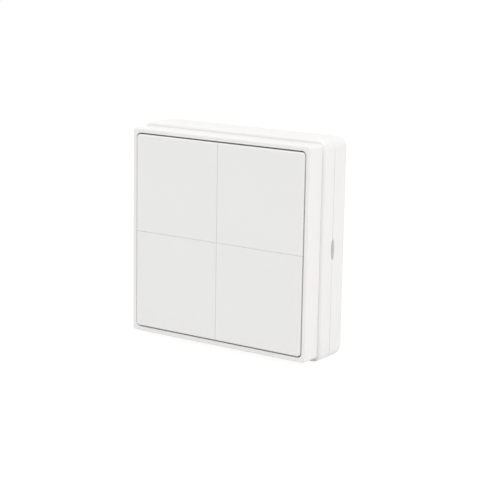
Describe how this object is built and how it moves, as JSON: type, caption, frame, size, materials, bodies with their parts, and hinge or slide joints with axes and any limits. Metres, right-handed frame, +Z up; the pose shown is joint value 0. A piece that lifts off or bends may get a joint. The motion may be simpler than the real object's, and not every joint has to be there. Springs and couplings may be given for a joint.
{
  "type": "wireless wall switch",
  "caption": "Square white wireless wall switch: flat press keys in a thin frame, on a housing that snaps onto a screwed wall base.",
  "frame": {"origin": "centre of the wall base's rear face, on the wall", "axes": "+Y into the wall, square to it; +Z up the wall; +X to the right for someone who faces the switch"},
  "size_m": [0.083, 0.0245, 0.083],
  "materials": {
    "key_plastic": "fine satin, white",
    "frame_plastic": "fine satin, white",
    "shell_plastic": "fine satin, white",
    "base_plastic": "fine satin, white",
    "inner_plastic": "plain moulded, pale grey",
    "spring_steel": "rolled strip",
    "screw_steel": "zinc plated",
    "board": "green solder mask on glass fibre",
    "module_board": "blue solder mask on glass fibre",
    "can_metal": "tinned sheet",
    "antenna_wire": "bare wire",
    "chip_plastic": "moulded black",
    "switch_plastic": "moulded dark grey",
    "plunger_plastic": "moulded pale grey",
    "cell_wrap": "plain wrap without print",
    "contact_metal": "nickel plated"
  },
  "bodies": {
    "wall_base": {"wall_base": "base_plastic", "snap_latches": "spring_steel"},
    "switch_unit": {"housing": "shell_plastic", "front_frame": "frame_plastic", "key_carrier": "inner_plastic", "carrier_screws": "screw_steel", "circuit_board": "board", "radio_module": "module_board", "radio_can": "can_metal", "antenna": "antenna_wire", "control_chip": "chip_plastic", "battery_upper": "cell_wrap", "battery_lower": "cell_wrap", "positive_contact": "contact_metal", "negative_contact": "contact_metal", "bridge_contact": "contact_metal", "bridge_spring": "contact_metal", "negative_spring": "contact_metal", "switch_body_top_left": "switch_plastic", "switch_body_top_right": "switch_plastic", "switch_body_bottom_left": "switch_plastic", "switch_body_bottom_right": "switch_plastic"},
    "key_top_left": {"key_top_left": "key_plastic"},
    "plunger_top_left": {"switch_plunger_top_left": "plunger_plastic"},
    "key_top_right": {"key_top_right": "key_plastic"},
    "plunger_top_right": {"switch_plunger_top_right": "plunger_plastic"},
    "key_bottom_left": {"key_bottom_left": "key_plastic"},
    "plunger_bottom_left": {"switch_plunger_bottom_left": "plunger_plastic"},
    "key_bottom_right": {"key_bottom_right": "key_plastic"},
    "plunger_bottom_right": {"switch_plunger_bottom_right": "plunger_plastic"}
  },
  "joints": [
    {"name": "unit_release", "type": "slide", "parent": "wall_base", "child": "switch_unit", "axis": [0, -1, 0], "range_m": [0, 0.025], "deforming": ["snap_latches"]},
    {"name": "key_top_left_press", "type": "hinge", "parent": "switch_unit", "child": "key_top_left", "pos_m": [-0.01895, -0.0204, 0.004], "axis": [-1, 0, 0], "range_deg": [0, 0.8], "stiffness_Nm_per_rad": 0.6, "springref_deg": -1.15},
    {"name": "key_top_right_press", "type": "hinge", "parent": "switch_unit", "child": "key_top_right", "pos_m": [0.01895, -0.0204, 0.004], "axis": [-1, 0, 0], "range_deg": [0, 0.8], "stiffness_Nm_per_rad": 0.6, "springref_deg": -1.15},
    {"name": "key_bottom_left_press", "type": "hinge", "parent": "switch_unit", "child": "key_bottom_left", "pos_m": [-0.01895, -0.0204, -0.004], "axis": [1, 0, 0], "range_deg": [0, 0.8], "stiffness_Nm_per_rad": 0.6, "springref_deg": -1.15},
    {"name": "key_bottom_right_press", "type": "hinge", "parent": "switch_unit", "child": "key_bottom_right", "pos_m": [0.01895, -0.0204, -0.004], "axis": [1, 0, 0], "range_deg": [0, 0.8], "stiffness_Nm_per_rad": 0.6, "springref_deg": -1.15},
    {"name": "plunger_top_left_press", "type": "slide", "parent": "switch_unit", "child": "plunger_top_left", "axis": [0, 1, 0], "range_m": [0, 0.00025]},
    {"name": "plunger_top_right_press", "type": "slide", "parent": "switch_unit", "child": "plunger_top_right", "axis": [0, 1, 0], "range_m": [0, 0.00025]},
    {"name": "plunger_bottom_left_press", "type": "slide", "parent": "switch_unit", "child": "plunger_bottom_left", "axis": [0, 1, 0], "range_m": [0, 0.00025]},
    {"name": "plunger_bottom_right_press", "type": "slide", "parent": "switch_unit", "child": "plunger_bottom_right", "axis": [0, 1, 0], "range_m": [0, 0.00025]}
  ],
  "couplings": [
    {"joint": "plunger_top_left_press", "follows": "key_top_left_press", "m_per_rad": 0.017},
    {"joint": "plunger_top_right_press", "follows": "key_top_right_press", "m_per_rad": 0.017},
    {"joint": "plunger_bottom_left_press", "follows": "key_bottom_left_press", "m_per_rad": 0.017},
    {"joint": "plunger_bottom_right_press", "follows": "key_bottom_right_press", "m_per_rad": 0.017}
  ]
}
